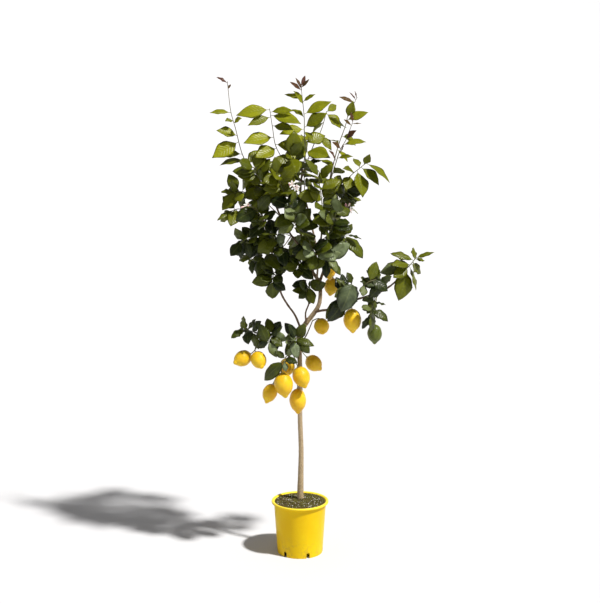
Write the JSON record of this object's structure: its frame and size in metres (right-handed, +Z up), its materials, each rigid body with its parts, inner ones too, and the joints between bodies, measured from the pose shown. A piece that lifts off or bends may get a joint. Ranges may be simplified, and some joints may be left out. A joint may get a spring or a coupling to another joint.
{
  "type": "potted lemon tree",
  "caption": "Lemon tree grown as a half standard in a round nursery pot: bare trunk, leafy crown, a long side branch, ripe and green lemons, blossom and purple-tipped shoots.",
  "frame": {"origin": "centre of the disc that the pot stands on, on the pot's axis at the level of the floor", "axes": "+Z up along the pot's axis; -Y towards the side seen in the picture; +X to the right seen from there"},
  "size_m": [0.785, 0.4702, 1.7165],
  "materials": {
    "pot": "satin",
    "soil": "matte",
    "wood": "matte",
    "lemon": "satin",
    "green_lemon": "satin",
    "blossom": "matte",
    "young_leaf": "satin",
    "olive_leaf": "satin",
    "dark_leaf": "satin",
    "purple_leaf": "satin"
  },
  "bodies": {
    "root": {"blossom_centre": "blossom", "blossom_left": "blossom", "blossom_right": "blossom", "lemon_01": "lemon", "lemon_02": "lemon", "lemon_03": "lemon", "lemon_04": "lemon", "lemon_05": "lemon", "lemon_06": "lemon", "lemon_07": "lemon", "lemon_08": "lemon", "lemon_09": "lemon", "lemon_10": "lemon", "lemon_11": "lemon", "lemon_12": "lemon", "lemon_green": "green_lemon", "pot": "pot", "shoot_centre": "young_leaf", "shoot_centre_right": "young_leaf", "shoot_centre_tip": "purple_leaf", "shoot_left": "young_leaf", "shoot_mid_left": "young_leaf", "shoot_right": "young_leaf", "shoot_right_a": "young_leaf", "shoot_right_a_tip": "purple_leaf", "shoot_right_b": "young_leaf", "shoot_right_b_tip": "purple_leaf", "soil": "soil", "spray_back_left": "olive_leaf", "spray_back_low": "dark_leaf", "spray_back_right": "olive_leaf", "spray_back_top": "olive_leaf", "spray_centre_top": "olive_leaf", "spray_front_centre": "dark_leaf", "spray_front_high": "olive_leaf", "spray_front_high_left": "olive_leaf", "spray_front_high_right": "olive_leaf", "spray_front_left": "dark_leaf", "spray_front_right": "dark_leaf", "spray_fruit_left": "dark_leaf", "spray_fruit_low": "dark_leaf", "spray_fruit_mid": "dark_leaf", "spray_fruit_right": "dark_leaf", "spray_lateral_low": "dark_leaf", "spray_lateral_mid": "dark_leaf", "spray_lateral_root": "dark_leaf", "spray_lateral_tip": "olive_leaf", "spray_leader": "dark_leaf", "spray_left_a": "olive_leaf", "spray_left_b": "olive_leaf", "spray_left_c": "dark_leaf", "spray_left_d": "dark_leaf", "spray_low_centre": "dark_leaf", "spray_low_left": "dark_leaf", "spray_mid_left": "dark_leaf", "spray_mid_right": "dark_leaf", "spray_right_a": "dark_leaf", "spray_right_b": "dark_leaf", "spray_right_c": "dark_leaf", "trunk_and_branches": "wood"}
  },
  "joints": []
}
